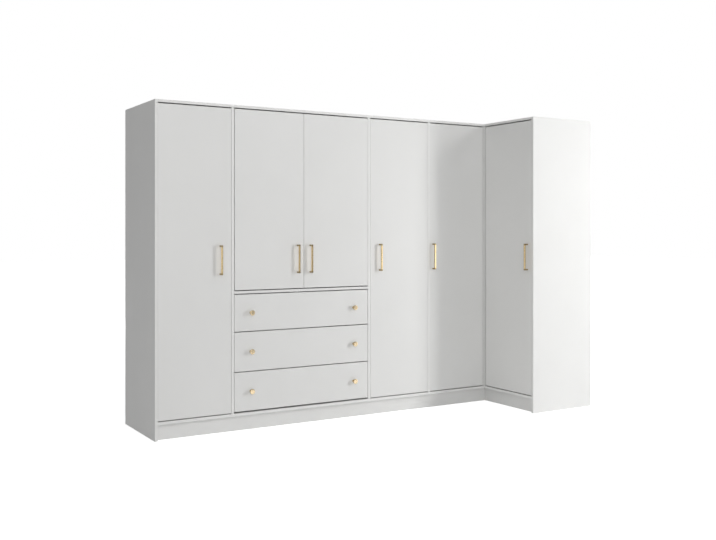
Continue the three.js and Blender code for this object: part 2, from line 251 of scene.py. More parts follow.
# Hinge cup on the door's back
CUP_ACROSS = 0.025
CUP_RADIUS = 0.0185
CUP_RIM_RADIUS = 0.0170
CUP_BOWL_RADIUS = 0.0142
CUP_FLOOR_RADIUS = 0.0120
CUP_HEIGHT = 0.0014
CUP_FLOOR_HEIGHT = 0.0003
CUP_SEGMENTS = 48
EAR_NEAR = 0.0295
EAR_FAR = 0.0415
EAR_HALF_HEIGHT = 0.029
EAR_HEIGHT = 0.0010
EAR_ROUND = 0.005
EAR_SCREW_ACROSS = 0.0345
EAR_SCREW_UP = 0.0225
DAMPER_HALF_LENGTH = 0.0085
DAMPER_WIDTH = 0.0030
DAMPER_HEIGHT = 0.0022
DAMPER_ROUND = 0.0015

# Hinge links: two curved straps from the arm's nose to the cup
LINK_FROM = (0.0158, 0.0105)
LINK_BEND = (0.0215, 0.0098)
LINK_TO = (0.0250, 0.0006)
LINK_THICKNESS = 0.0014
LINK_NEAR_UP = 0.0022
LINK_FAR_UP = 0.0056
LINK_STEPS = 14
LINK_TURN_START = (0.0150, 0.0110)
LINK_TURN_END = (0.0235, 0.0035)

# Screw heads: radius and height
SMALL_SCREW = (0.0034, 0.0014)
PLATE_SCREW = (0.0042, 0.0020)
CUP_SCREW = (0.0036, 0.0012)
BOLT = (0.0046, 0.0024)
BACK_SCREW = (0.0046, 0.0016)
SCREW_SEGMENTS = 24
SCREW_SHOULDER_SHARES = ((1.0, 0.0), (1.0, 0.35), (0.93, 0.68), (0.80, 0.88), (0.64, 1.0))
CROSS_ARMS = 4
CROSS_LENGTH_SHARE = 0.46
CROSS_WIDTH_SHARE = 0.12
CROSS_DEPTH_SHARE = 0.65

# Knobs, along the way they point
KNOB_SEGMENTS = 96
KNOB_ROSE_RADIUS = 0.009
KNOB_ROSE_HEIGHT = 0.0025
KNOB_ROSE_EDGE = 0.0008
KNOB_NECK_RADIUS = 0.0058
KNOB_NECK_END = 0.0095
KNOB_FLARE_RADIUS = 0.0122
KNOB_HEAD_START = 0.0195
KNOB_HEAD_RADIUS = 0.016
KNOB_HEAD_END = 0.0265
KNOB_EDGE = 0.0016
KNOB_DISH_RADIUS = 0.0105
KNOB_DISH_DEPTH = 0.0006

# Hanging rails
RAIL_SEGMENTS = 64
RAIL_RADIUS = 0.0125
RAIL_BORE = 0.011
FLANGE_RADIUS = 0.022
FLANGE_THICKNESS = 0.005
FLANGE_EDGE = 0.0012
FLANGE_SCREW_RADIUS = 0.0172
FLANGE_SCREWS = 3
COLLAR_RADIUS = 0.0160
COLLAR_LENGTH = 0.012
STRAP_THICKNESS = 0.005
STRAP_HALF_WIDTH = 0.012
STRAP_FOOT_LENGTH = 0.060
STRAP_BEND = 0.004
STRAP_SCREWS = (0.016, 0.046)
END_CAP_LENGTH = 0.003

# Drawer runners
RUNNER_LIFT = 0.048
RUNNER_WEB = 0.002
RUNNER_SCREWS = (0.035, 0.225, 0.415)
SLIDE_HALF_HEIGHT = 0.0150
SLIDE_FOOT = 0.0018
SLIDE_STEM_HALF = 0.0045
SLIDE_HEAD_NEAR = 0.0042
SLIDE_HEAD_FAR = 0.0062
SLIDE_HEAD_HALF = 0.0110

# Shelf pins, cam caps and the angle under the corner shelf
PIN_RADIUS = 0.0025
PIN_LENGTH = 0.009
PIN_EDGE = 0.00125
PIN_COLLAR_RADIUS = 0.0045
PIN_COLLAR_LENGTH = 0.0012
PIN_INSET = 0.05
CAP_RADIUS = 0.0085
CAP_HEIGHT = 0.0008
CAP_EDGE = 0.0004
CAP_INSET = 0.034
CAP_FRONT_INSET = 0.06
ANGLE_LEG = 0.022
ANGLE_THICKNESS = 0.002
ANGLE_INSET = 0.04
ANGLE_SCREWS = 4

# Backs: screws round the edges and up the sheets, and plastic joint strips between the sheets
BACK_SCREW_INSET = 0.009
BACK_SCREW_SPACING = 0.25
WING_BACK_MIDDLE = 0.0
BACK_STRIP_HALF_WIDTH = 0.012
BACK_STRIP_HEIGHT = 0.0016
BACK_STRIP_ROUND = 0.0008
BACK_STRIP_EDGE = 0.003
BACK_STRIP_BEYOND = 0.25

# Feet under the bottom boards
FOOT_BASE_RADIUS = 0.028
FOOT_BASE_HEIGHT = 0.007
FOOT_BASE_EDGE = 0.002
FOOT_NUT_RADIUS = 0.018
FOOT_NUT_HEIGHT = 0.022
FOOT_STEM_RADIUS = 0.010
FOOT_SOCKET_START = 0.052
FOOT_SOCKET_RADIUS = 0.017
FOOT_PLATE_RADIUS = 0.026
FOOT_PLATE_THICKNESS = 0.004
FOOT_INSET = 0.09
FOOT_SEGMENTS = 48


def principled(name):
    """A new material, its node tree and its surface shader."""
    material = bpy.data.materials.new(name)
    material.use_nodes = True
    tree = material.node_tree
    return material, tree, tree.nodes["Principled BSDF"]


def node(tree, kind, inputs=None, **settings):
    """A node with its settings; inputs are values, or outputs of other nodes to link."""
    made = tree.nodes.new(kind)
    for key, value in settings.items():
        setattr(made, key, value)
    for key, value in (inputs or {}).items():
        if isinstance(value, bpy.types.NodeSocket):
            tree.links.new(value, made.inputs[key])
        else:
            made.inputs[key].default_value = value
    return made


def maths(tree, operation, *values):
    """The result of one sum of numbers or outputs."""
    inputs = dict(enumerate(values))
    return node(tree, "ShaderNodeMath", inputs, operation=operation).outputs[0]


def noise(tree, scale, detail, stretch=(1, 1, 1)):
    """Noise from 0 to 1 in the piece's own metres."""
    place = node(tree, "ShaderNodeTexCoord").outputs["Object"]
    mapping = node(tree, "ShaderNodeMapping", {"Vector": place, "Scale": stretch})
    inputs = {"Vector": mapping.outputs[0], "Scale": scale, "Detail": detail}
    return node(tree, "ShaderNodeTexNoise", inputs).outputs["Fac"]


def remap(tree, value, low, high, source=NOISE_SPAN):
    """A value carried over from the source's span to the one from low to high."""
    inputs = {"Value": value, "From Min": source[0], "From Max": source[1], "To Min": low, "To Max": high}
    return node(tree, "ShaderNodeMapRange", inputs).outputs["Result"]


def pattern(tree, kind):
    """A noise spread over the whole of 0 to 1."""
    return remap(tree, noise(tree, *kind), 0.0, 1.0)


def blend(tree, factor, first, second):
    """Two colours mixed by a factor."""
    made = node(tree, "ShaderNodeMix", data_type="RGBA")
    for socket, value in zip(MIX_SOCKETS, (factor, first, second)):
        if isinstance(value, bpy.types.NodeSocket):
            tree.links.new(value, made.inputs[socket])
        else:
            made.inputs[socket].default_value = value
    return made.outputs[MIX_RESULT]


def bump(tree, height, distance, strength=1.0, before=None):
    inputs = {"Height": height, "Distance": distance, "Strength": strength}
    if before is not None:
        inputs["Normal"] = before
    return node(tree, "ShaderNodeBump", inputs).outputs[0]


def wire(tree, shader, colour, rough, normal, metallic=0.0):
    """A surface's colour, roughness and normal, linked, and how metallic it is."""
    for socket, value in (("Base Color", colour), ("Roughness", rough), ("Normal", normal)):
        tree.links.new(value, shader.inputs[socket])
    shader.inputs["Metallic"].default_value = metallic


def edge_mask(tree, thin_axis):
    """0 on a board's two faces and 1 on its edges: how far the surface turns from the thin axis."""
    normal = node(tree, "ShaderNodeTexCoord").outputs["Normal"]
    parts = node(tree, "ShaderNodeSeparateXYZ", {"Vector": normal})
    along = maths(tree, "ABSOLUTE", parts.outputs["XYZ".index(thin_axis)])
    return remap(tree, along, 1.0, 0.0, EDGE_TURN)


def melamine(name, thin_axis=None):
    """White melamine-faced board: satin, faintly pebbled, with a slightly glossier edge band and painted
    shade along the rounded arris between band and face.
    """
    material, tree, shader = principled(name)
    base = blend(tree, pattern(tree, BOARD_CLOUD_NOISE), BOARD_SHADE, BOARD_LIGHT)
    fleck = maths(tree, "MULTIPLY", pattern(tree, BOARD_FLECK_NOISE), FLECK_SHARE)
    base = blend(tree, fleck, base, BOARD_FLECK)
    gloss = remap(tree, noise(tree, *BOARD_GLOSS_NOISE), *BOARD_ROUGH)
    if thin_axis:
        edge = edge_mask(tree, thin_axis)
        base = blend(tree, edge, base, BOARD_BAND)
        # painted shade: a darker line on the rounded arris, standing in for the shade inside the gaps
        # between boards
        gap_shade = maths(tree, "MULTIPLY", edge, maths(tree, "SUBTRACT", 1.0, edge))
        base = blend(tree, maths(tree, "MULTIPLY", gap_shade, GAP_SHADE_STRENGTH), base, BOARD_GAP_SHADE)
        gloss = maths(tree, "SUBTRACT", gloss, maths(tree, "MULTIPLY", edge, BAND_GLOSS))
    pebble = bump(tree, noise(tree, *BOARD_PEBBLE_NOISE), *PEBBLE_BUMP)
    wire(tree, shader, base, gloss, bump(tree, noise(tree, *BOARD_WAVE_NOISE), *WAVE_BUMP, pebble))
    shader.inputs["Specular IOR Level"].default_value = BOARD_SPECULAR
    return material


def fibreboard(name, thin_axis):
    """White-faced fibreboard: matt, with brown fibre at its cut edges."""
    material, tree, shader = principled(name)
    face = blend(tree, pattern(tree, FACE_CLOUD_NOISE), FACE_SHADE, FACE_LIGHT)
    fibre = pattern(tree, FIBRE_NOISE)
    core = blend(tree, fibre, CORE_SHADE, CORE_LIGHT)
    edge = edge_mask(tree, thin_axis)
    face_rough = remap(tree, noise(tree, *FACE_ROUGH_NOISE), *FACE_ROUGH)
    rough = maths(tree, "MAXIMUM", face_rough, maths(tree, "MULTIPLY", edge, CORE_ROUGH))
    wire(tree, shader, blend(tree, edge, face, core), rough, bump(tree, fibre, *FIBRE_BUMP))
    return material


def brushed_gold():
    """Pale gold plating, brushed along the bar, with painted shade darkening its two ends."""
    material, tree, shader = principled("gold_brushed")
    streak = pattern(tree, STREAK_NOISE)
    cloud = maths(tree, "MULTIPLY", pattern(tree, GOLD_CLOUD_NOISE), GOLD_CLOUD_SHARE)
    base = blend(tree, cloud, blend(tree, streak, GOLD_LOW, GOLD_HIGH), GOLD_CLOUD)
    span = node(tree, "ShaderNodeTexCoord").outputs["Generated"]
    up = node(tree, "ShaderNodeSeparateXYZ", {"Vector": span}).outputs["Z"]
    from_middle = maths(tree, "ABSOLUTE", maths(tree, "SUBTRACT", up, BAR_MIDDLE_SHARE))
    # painted shade: the colour darkens towards both ends of the bar, where the legs meet the door
    end = remap(tree, from_middle, 0.0, 1.0, BAR_SHADE_SHARES)
    base = blend(tree, maths(tree, "MULTIPLY", end, BAR_END_SHADE_SHARE), base, GOLD_PAINTED_SHADE)
    rough = remap(tree, streak, *BAR_ROUGH, WHOLE_SPAN)
    wire(tree, shader, base, rough, bump(tree, streak, *GOLD_BUMP), 1.0)
    return material


def turned_gold():
    """The same gold, turned about the piece's Y axis: fine rings, a face in painted highlight and sides in
    painted shade.
    """
    material, tree, shader = principled("gold_turned")
    coordinates = node(tree, "ShaderNodeTexCoord").outputs
    flat = node(tree, "ShaderNodeMapping", {"Vector": coordinates["Object"], "Scale": (1, 0, 1)})
    radius = node(tree, "ShaderNodeVectorMath", {0: flat.outputs[0]}, operation="LENGTH").outputs["Value"]
    scale, detail = RING_NOISE
    inputs = {"W": radius, "Scale": scale, "Detail": detail}
    rings = node(tree, "ShaderNodeTexNoise", inputs, noise_dimensions="1D")
    ring = remap(tree, rings.outputs["Fac"], 0.0, 1.0)
    # painted shade and highlight: surfaces that turn away from the knob's axis are painted dark, and its
    # face is painted paler
    turn = node(tree, "ShaderNodeSeparateXYZ", {"Vector": coordinates["Normal"]}).outputs["Y"]
    face = remap(tree, maths(tree, "ABSOLUTE", turn), 0.0, 1.0, KNOB_LIT_FACE_TURN)
    side = blend(tree, ring, GOLD_PAINTED_SHADE, GOLD_SIDE_SHADE)
    front = blend(tree, ring, GOLD_LIT_FACE_LOW, GOLD_LIT_FACE_HIGH)
    rough = remap(tree, ring, *KNOB_ROUGH, WHOLE_SPAN)
    wire(tree, shader, blend(tree, face, side, front), rough, bump(tree, ring, *GOLD_BUMP), 1.0)
    return material


def darkened(colour, share):
    return tuple(share * part for part in colour[:3]) + (1,)


def plated_steel(name, colour, rough):
    """Plated steel with a faint mottle."""
    material, tree, shader = principled(name)
    mottle = pattern(tree, MOTTLE_NOISE)
    base = blend(tree, mottle, darkened(colour, METAL_DARK_SHARE), colour)
    grain = bump(tree, noise(tree, *METAL_NOISE), *METAL_BUMP)
    wire(tree, shader, base, remap(tree, mottle, *rough, WHOLE_SPAN), grain, 1.0)
    return material


def plastic(name, colour, rough):
    """Moulded plastic with a fine spark-eroded grain."""
    material, tree, shader = principled(name)
    grain = pattern(tree, PLASTIC_NOISE)
    base = blend(tree, grain, darkened(colour, PLASTIC_DARK_SHARE), colour)
    wire(tree, shader, base, remap(tree, grain, *rough, WHOLE_SPAN), bump(tree, grain, *PLASTIC_BUMP))
    return material


board = {axis: melamine("melamine_" + axis.lower(), axis) for axis in "XYZ"}
tray_board = melamine("melamine_plain")
back_board = {axis: fibreboard("fibreboard_" + axis.lower(), axis) for axis in "XY"}
gold = brushed_gold()
gold_turned = turned_gold()
nickel = plated_steel("steel_nickel", *NICKEL)
zinc = plated_steel("steel_zinc", *ZINC)
white_plastic = plastic("plastic_white", *WHITE_PLASTIC)
black_plastic = plastic("plastic_black", *BLACK_PLASTIC)


def thin_axis_of(name):
    low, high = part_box(name)
    size = list(high - low)
    return "XYZ"[size.index(min(size))]


def bevel(piece, radius, keep_sharp):
    """Rounds the edges between faces that meet at a sharp angle, as modifiers only."""
    ease = piece.modifiers.new("ease", "BEVEL")
    ease.width = radius
    ease.segments = BEVEL_STEPS
    ease.limit_method = "ANGLE"
    ease.angle_limit = SHARP_ANGLE
    piece.modifiers.new("normals", "WEIGHTED_NORMAL").keep_sharp = keep_sharp


def dress(name, material, radius):
    """A CAD piece's material and edges, once its triangles are welded and its flat faces made whole."""
    piece = frame["nodes"][name]
    piece.material_slots[0].material = material
    piece.modifiers.new("weld", "WELD").merge_threshold = WELD_DISTANCE
    flatten = piece.modifiers.new("flatten", "DECIMATE")
    flatten.decimate_type = "DISSOLVE"
    flatten.angle_limit = FLAT_ANGLE
    bevel(piece, radius, False)


def dress_boards():
    """Every board of the carcass, the doors and the drawers."""
    for name in frame["nodes"]:
        if name.startswith("drawer_box"):
            dress(name, tray_board, BOARD_EDGE_RADIUS)
        elif "back_panel" in name:
            dress(name, back_board[thin_axis_of(name)], BOARD_EDGE_RADIUS)
        elif not name.startswith(("handle", "knob", "hinge", "runner")) and "rail" not in name:
            dress(name, board[thin_axis_of(name)], BOARD_EDGE_RADIUS)


def dress_metal():
    for name in frame["nodes"]:
        if name.startswith("handle"):
            dress(name, gold, METAL_EDGE_RADIUS)
        elif name.startswith("runner"):
            dress(name, zinc, FINE_EDGE_RADIUS)


def axes(place, x, y, z):
    """A frame at a place, with its three axes along three directions."""
    return Matrix.Translation(place) @ Matrix((x, y, z)).transposed().to_4x4()


def curve(start, bend, end, k):
    """The point a share k of the way from start to end, on a curve that leans towards the bend."""
    return (1 - k) ** 2 * start + 2 * k * (1 - k) * bend + k**2 * end


def facing(place, out, along):
    """A frame at a place, with its Z pointing out and its X pointing along."""
    return axes(place, along, out.cross(along), out)


def eased(points, reach):
    """The outline with each corner rounded, starting up to a reach away from it."""
    rounded = []
    for i, point in enumerate(points):
        corner = Vector(point)
        before, after = Vector(points[i - 1]) - corner, Vector(points[(i + 1) % len(points)]) - corner
        first = corner + before.normalized() * min(reach, before.length / 2)
        last = corner + after.normalized() * min(reach, after.length / 2)
        for step in range(ROUND_STEPS + 1):
            rounded.append(curve(first, corner, last, step / ROUND_STEPS))
    return [p for i, p in enumerate(rounded) if (p - rounded[i - 1]).length > WELD_DISTANCE]


def rectangle(low, high):
    return [(low[0], low[1]), (high[0], low[1]), (high[0], high[1]), (low[0], high[1])]


def add_prism(bm, outline, low, high, matrix):
    """An outline in the matrix's own XY plane, closed between two heights along its Z."""
    rings = [[bm.verts.new(matrix @ Vector((p[0], p[1], z))) for p in outline] for z in (low, high)]
    for ring in rings:
        bm.faces.new(ring)
    for i in range(len(outline)):
        bm.faces.new((rings[0][i - 1], rings[0][i], rings[1][i], rings[1][i - 1]))


def add_lathe(bm, profile, matrix, segments):
    """Points (radius, height) turned about the matrix's Z, closed at a radius of 0; gives the last ring."""
    rings = []
    for radius, height in profile:
        turns = [2 * math.pi * i / segments for i in range(segments if radius else 1)]
        ring = [Vector((radius * math.cos(a), radius * math.sin(a), height)) for a in turns]
        rings.append([bm.verts.new(matrix @ point) for point in ring])
    for lower, upper in zip(rings, rings[1:]):
        for i in range(segments):
            j = (i + 1) % segments
            corners = [lower[i % len(lower)], lower[j % len(lower)]]
            corners += [upper[j % len(upper)], upper[i % len(upper)]]
            bm.faces.new(list(dict.fromkeys(corners)))
    return rings[-1]


def edges_round(bm, ring):
    return [bm.edges.get((ring[i - 1], ring[i])) for i in range(len(ring))]


def add_screw(bm, matrix, size):
    """A pan head with a cross recess, seated at the matrix's origin and pointing along its Z."""
    radius, height = size
    profile = [(0, 0)] + [(radius * out, height * up) for out, up in SCREW_SHOULDER_SHARES]
    rim = add_lathe(bm, profile, matrix, SCREW_SEGMENTS)
    long, wide = CROSS_LENGTH_SHARE * radius, CROSS_WIDTH_SHARE * radius
    arm = [Vector(point) for point in ((long, -wide), (long, wide), (wide, wide))]
    turns = [Matrix.Rotation(2 * math.pi * i / CROSS_ARMS, 2) for i in range(CROSS_ARMS)]
    cross = [turn @ point for turn in turns for point in arm]
    floor_height = height * (1 - CROSS_DEPTH_SHARE)
    mouth = [bm.verts.new(matrix @ Vector((p.x, p.y, height))) for p in cross]
    bottom = [bm.verts.new(matrix @ Vector((p.x, p.y, floor_height))) for p in cross]
    bm.faces.new(bottom)
    for i in range(len(cross)):
        bm.faces.new((mouth[i - 1], mouth[i], bottom[i], bottom[i - 1]))
    bmesh.ops.triangle_fill(bm, use_beauty=True, edges=edges_round(bm, rim) + edges_round(bm, mouth))


def put(name, data, place):
    """A new object in the scene, at a place."""
    made = bpy.data.objects.new(name, data)
    made.location = place
    bpy.context.scene.collection.objects.link(made)
    return made


def put_mesh(name, bm, material, place=(0, 0, 0)):
    """The built mesh as an object, measured from its place."""
    mesh = bpy.data.meshes.new(name)
    bm.to_mesh(mesh)
    bm.free()
    mesh.materials.append(material)
    return put(name, mesh, place)


def make_piece(name, bm, material, body, edge=None, place=(0, 0, 0)):
    """A piece of the wardrobe, on a body if one is named; an edge is the radius its sharp edges get."""
    bmesh.ops.remove_doubles(bm, verts=bm.verts, dist=WELD_DISTANCE)
    bmesh.ops.recalc_face_normals(bm, faces=bm.faces)
    piece = put_mesh(name, bm, material, place)
    piece.data.shade_smooth()
    piece.data.set_sharp_from_angle(angle=SHARP_ANGLE)
    if edge:
        bevel(piece, edge, True)
    if body:
        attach(piece, body)
    return piece


def joint_of(body):
    return next(joint for joint in frame["joints"] if joint["child"] == body)


class DoorSide:
    """A door's hinge side: across runs from the upright over the door, and deep from its back inwards."""

    def __init__(self, number):
        self.body = DOOR_BODIES[number - 1]
        low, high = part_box(f"door_{number}")
        turn = Vector(joint_of(self.body)["pos_m"])
        size, middle = high - low, (low + high) / 2
        if size.x > size.y:
            self.across = RIGHT * math.copysign(1, middle.x - turn.x)
            self.deep = BACKWARD
        else:
            self.across = BACKWARD * math.copysign(1, middle.y - turn.y)
            self.deep = RIGHT
        gap = HINGE_GAPS[number - 1]
        reach = min(gap, HINGE_GAP_LIMIT)
        self.packing = gap - reach
        corner = Vector((turn.x, turn.y, 0))
        self.origin = corner - self.across * reach + self.deep * min(size.x, size.y)
        self.low, self.high = low.z, high.z

    def point(self, across, deep, up):
        return self.origin + self.across * across + self.deep * deep + UP * up

    def hinge_heights(self):
        tall = self.high - self.low > TALL_DOOR
        shares = TALL_HINGE_SHARES if tall else SHORT_HINGE_SHARES
        lowest, highest = self.low + HINGE_INSET, self.high - HINGE_INSET
        return [lowest + share * (highest - lowest) for share in shares]

    def plan(self, up):
        """A frame whose X runs deep, Y across and Z up, for an arm seen from above."""
        return axes(self.origin + UP * up, self.deep, self.across, UP)

    def wall(self, up):
        """A frame whose X runs deep, Y up and Z across, for what lies on the upright."""
        return axes(self.origin + UP * up, self.deep, UP, self.across)

    def back(self, up):
        """A frame whose X runs across, Y up and Z deep, for what lies on the door's back."""
        return axes(self.origin + UP * up, self.across, UP, self.deep)


def plate_outline():
    body, wing = PLATE_HALF_HEIGHT, WING_HALF_HEIGHT
    lower = [(PLATE_NEAR, -body), (WING_NEAR, -body), (WING_NEAR, -wing)]
    lower += [(WING_FAR, -wing), (WING_FAR, -body), (PLATE_FAR, -body)]
    return eased(lower + [(deep, -up) for deep, up in reversed(lower)], WING_ROUND)


def arm_outline():
    outline = [
        (ARM_HEEL, PLATE_TOP),
        (ARM_NECK, PLATE_TOP),
        (ARM_CROOK, ARM_CROOK_LOW),
        (ARM_TOE, ARM_NOSE_LOW),
        (ARM_TOE, ARM_NOSE_HIGH),
        (ARM_CROOK, ARM_CROOK_HIGH),
        (ARM_NECK, ARM_RISE),
        (ARM_HEEL - ARM_HEEL_SLOPE, ARM_RISE),
        (ARM_HEEL, ARM_HEEL_RISE),
    ]
    return eased(outline, ARM_ROUND)


def hinge_arm(door, name, height):
    """The plate on the upright with its two screws, and the arm with its two adjusting screws."""
    bm = bmesh.new()
    add_prism(bm, plate_outline(), PLATE_SEAT - door.packing, PLATE_TOP, door.wall(height))
    add_prism(bm, arm_outline(), -ARM_HALF_HEIGHT, ARM_HALF_HEIGHT, door.plan(height))
    slot_near, slot_far = ARM_SCREWS[0] - ARM_SLOT_HALF, ARM_SCREWS[1] + ARM_SLOT_HALF
    raised = eased(rectangle((slot_near, -ARM_SLOT_HALF), (slot_far, ARM_SLOT_HALF)), ARM_SLOT_HALF)
    add_prism(bm, raised, ARM_RISE, ARM_RISE + ARM_SLOT_DEPTH, door.wall(height))
    wing_middle = (WING_NEAR + WING_FAR) / 2
    for side in (-1, 1):
        seat = door.point(PLATE_TOP, wing_middle, height + side * PLATE_SCREW_UP)
        add_screw(bm, facing(seat, door.across, UP), PLATE_SCREW)
    for deep in ARM_SCREWS:
        seat = door.point(ARM_RISE + ARM_SLOT_DEPTH, deep, height)
        add_screw(bm, facing(seat, door.across, UP), SMALL_SCREW)
    return make_piece(name, bm, nickel, "cabinet", FINE_EDGE_RADIUS)


def hinge_cup(door, name, height):
    """The cup's rim and bowl, the ear bar with two screws, and the damper in the bowl."""
    bm = bmesh.new()
    back = door.back(height)
    ear = rectangle((EAR_NEAR, -EAR_HALF_HEIGHT), (EAR_FAR, EAR_HALF_HEIGHT))
    add_prism(bm, eased(ear, EAR_ROUND), 0, EAR_HEIGHT, back)
    profile = [
        (0, CUP_FLOOR_HEIGHT),
        (CUP_FLOOR_RADIUS, CUP_FLOOR_HEIGHT),
        (CUP_BOWL_RADIUS, CUP_HEIGHT),
        (CUP_RIM_RADIUS, CUP_HEIGHT),
        (CUP_RADIUS, 0),
        (0, 0),
    ]
    add_lathe(bm, profile, back @ Matrix.Translation((CUP_ACROSS, 0, 0)), CUP_SEGMENTS)
    damper_near = CUP_ACROSS - DAMPER_WIDTH
    damper = rectangle((damper_near, -DAMPER_HALF_LENGTH), (CUP_ACROSS, DAMPER_HALF_LENGTH))
    add_prism(bm, eased(damper, DAMPER_ROUND), CUP_FLOOR_HEIGHT, DAMPER_HEIGHT, back)
    for side in (-1, 1):
        seat = door.point(EAR_SCREW_ACROSS, EAR_HEIGHT, height + side * EAR_SCREW_UP)
        add_screw(bm, facing(seat, door.deep, UP), CUP_SCREW)
    return make_piece(name, bm, nickel, door.body, FINE_EDGE_RADIUS)


def link_edges():
    """The strap's two long edges, each a curve beside the line from the arm's nose to the cup."""
    start, bend, end = (Vector(point) for point in (LINK_FROM, LINK_BEND, LINK_TO))
    near, far = [], []
    for step in range(LINK_STEPS + 1):
        k = step / LINK_STEPS
        point = curve(start, bend, end, k)
        run = ((1 - k) * (bend - start) + k * (end - bend)).normalized()
        side = Vector((-run.y, run.x)) * LINK_THICKNESS / 2
        near.append(point + side)
        far.append(point - side)
    return near, far


def hinge_links(door, name):
    """The straps of all the door's hinges, in one piece that is on no body."""
    bm = bmesh.new()
    for height in door.hinge_heights():
        matrix = axes(door.origin + UP * height, door.across, door.deep, UP)
        for low, high in ((-LINK_FAR_UP, -LINK_NEAR_UP), (LINK_NEAR_UP, LINK_FAR_UP)):
            add_link(bm, low, high, matrix)
    piece = make_piece(name, bm, zinc, None)
    start = door.point(*LINK_TURN_START, door.low)
    end = door.point(*LINK_TURN_END, door.low)
    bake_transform(piece)


def add_link(bm, low, high, matrix):
    """One strap, in quads from end to end."""
    rows = []
    for a, b in zip(*link_edges()):
        corners = [(a, low), (a, high), (b, high), (b, low)]
        rows.append([bm.verts.new(matrix @ Vector((p.x, p.y, z))) for p, z in corners])
    bm.faces.new(rows[0])
    bm.faces.new(rows[-1])
    for first, second in zip(rows, rows[1:]):
        for i in range(len(first)):
            bm.faces.new((first[i - 1], first[i], second[i], second[i - 1]))


def hinges():
    for number in range(1, len(DOOR_BODIES) + 1):
        door = DoorSide(number)
        heights = door.hinge_heights()
        for index, height in enumerate(heights, start=1):
            arm = hinge_arm(door, f"hinge_arm_{number}_{index}", height)
            hinge_cup(door, f"hinge_cup_{number}_{index}", height)
            if index == 1:
                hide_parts(f"hinge_{number}_lower")
            elif index == len(heights):
                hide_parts(f"hinge_{number}_upper")
        hinge_links(door, f"hinge_links_{number}")


def handle_screws():
    """Two bolts through each door into its handle's legs, their heads on the door's back."""
    for number in range(1, len(DOOR_BODIES) + 1):
        door = DoorSide(number)
        low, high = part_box(f"handle_{number}")
        middle = (low + high) / 2
        leg = min(high.x - low.x, high.y - low.y) / 2
        across = (middle - door.origin).dot(door.across)
        bm = bmesh.new()
        for height in (low.z + leg, high.z - leg):
            add_screw(bm, facing(door.point(across, 0, height), door.deep, UP), BOLT)
        make_piece(f"handle_bolts_{number}", bm, zinc, door.body)


def knob_profile():
    """From the rose on the front through the neck and its flare to the head and the dish in its face."""
    return [
        (0, 0),
        (KNOB_ROSE_RADIUS, 0),
        (KNOB_ROSE_RADIUS, KNOB_ROSE_HEIGHT - KNOB_ROSE_EDGE),
        (KNOB_ROSE_RADIUS - KNOB_ROSE_EDGE, KNOB_ROSE_HEIGHT),
        (KNOB_NECK_RADIUS, KNOB_ROSE_HEIGHT),
        *flare_profile(),
        (KNOB_HEAD_RADIUS - KNOB_EDGE, KNOB_HEAD_START),
        *round_edge(KNOB_HEAD_RADIUS, KNOB_HEAD_START, 1, KNOB_EDGE),
        *reversed(round_edge(KNOB_HEAD_RADIUS, KNOB_HEAD_END, -1, KNOB_EDGE)),
        (KNOB_DISH_RADIUS, KNOB_HEAD_END),
        (KNOB_DISH_RADIUS - KNOB_DISH_DEPTH, KNOB_HEAD_END - KNOB_DISH_DEPTH),
        (0, KNOB_HEAD_END - KNOB_DISH_DEPTH),
    ]


def knobs():
    """Turned knobs, each measured from its own seat on the front, and the bolts that hold them."""
    for number, body in enumerate(DRAWER_BODIES, start=1):
        bolts = bmesh.new()
        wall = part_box(f"drawer_box_{number}")[0].y + drawer_wall(number)
        for side in ("left", "right"):
            name = f"knob_{number}_{side}"
            low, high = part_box(name)
            seat = Vector(((low.x + high.x) / 2, high.y, (low.z + high.z) / 2))
            bm = bmesh.new()
            add_lathe(bm, knob_profile(), facing(Vector(), -BACKWARD, RIGHT), KNOB_SEGMENTS)
            knob = make_piece(f"turned_{name}", bm, gold_turned, body, place=seat)
            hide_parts(name)
            add_screw(bolts, facing(Vector((seat.x, wall, seat.z)), BACKWARD, UP), BOLT)
        make_piece(f"knob_bolts_{number}", bolts, zinc, body)


def flare_profile():
    """The neck's concave flare, a quarter wave from the neck to the head."""
    points = []
    for step in range(2 * ROUND_STEPS + 1):
        k = step / (2 * ROUND_STEPS)
        swell = 1 - math.cos(k * math.pi / 2)
        radius = KNOB_NECK_RADIUS + (KNOB_FLARE_RADIUS - KNOB_NECK_RADIUS) * swell
        points.append((radius, KNOB_NECK_END + k * (KNOB_HEAD_START - KNOB_NECK_END)))
    return points


def round_edge(radius, height, side, edge):
    """A quarter round at a turned edge; side says which way the piece goes on from that height."""
    points = []
    for step in range(1, ROUND_STEPS + 1):
        angle = step / ROUND_STEPS * math.pi / 2
        out, up = edge * math.sin(angle), edge * (1 - math.cos(angle))
        points.append((radius - edge + out, height + side * up))
    return points


def drawer_wall(number):
    """A drawer box's wall thickness: what its own mesh has between the two faces of its front."""
    mesh = frame["nodes"][f"drawer_box_{number}"].data
    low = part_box(f"drawer_box_{number}")[0].y
    inner = min(v.co.y for v in mesh.vertices if v.co.y > low + WELD_DISTANCE)
    return inner - low


def flange_profile(seat, side):
    """A flange at the upright, from its rim round to the tube; side points along the tube."""
    face = seat + side * FLANGE_THICKNESS
    rim = round_edge(FLANGE_RADIUS, face, -side, FLANGE_EDGE)
    return [(FLANGE_RADIUS, seat), *reversed(rim), (FLANGE_RADIUS - FLANGE_EDGE, face), (RAIL_RADIUS, face)]


def add_flange_screws(bm, centre, out):
    for turn in range(FLANGE_SCREWS):
        angle = 2 * math.pi * turn / FLANGE_SCREWS
        spoke = Vector((0, math.sin(angle), math.cos(angle)))
        add_screw(bm, facing(centre + spoke * FLANGE_SCREW_RADIUS, out, UP), SMALL_SCREW)


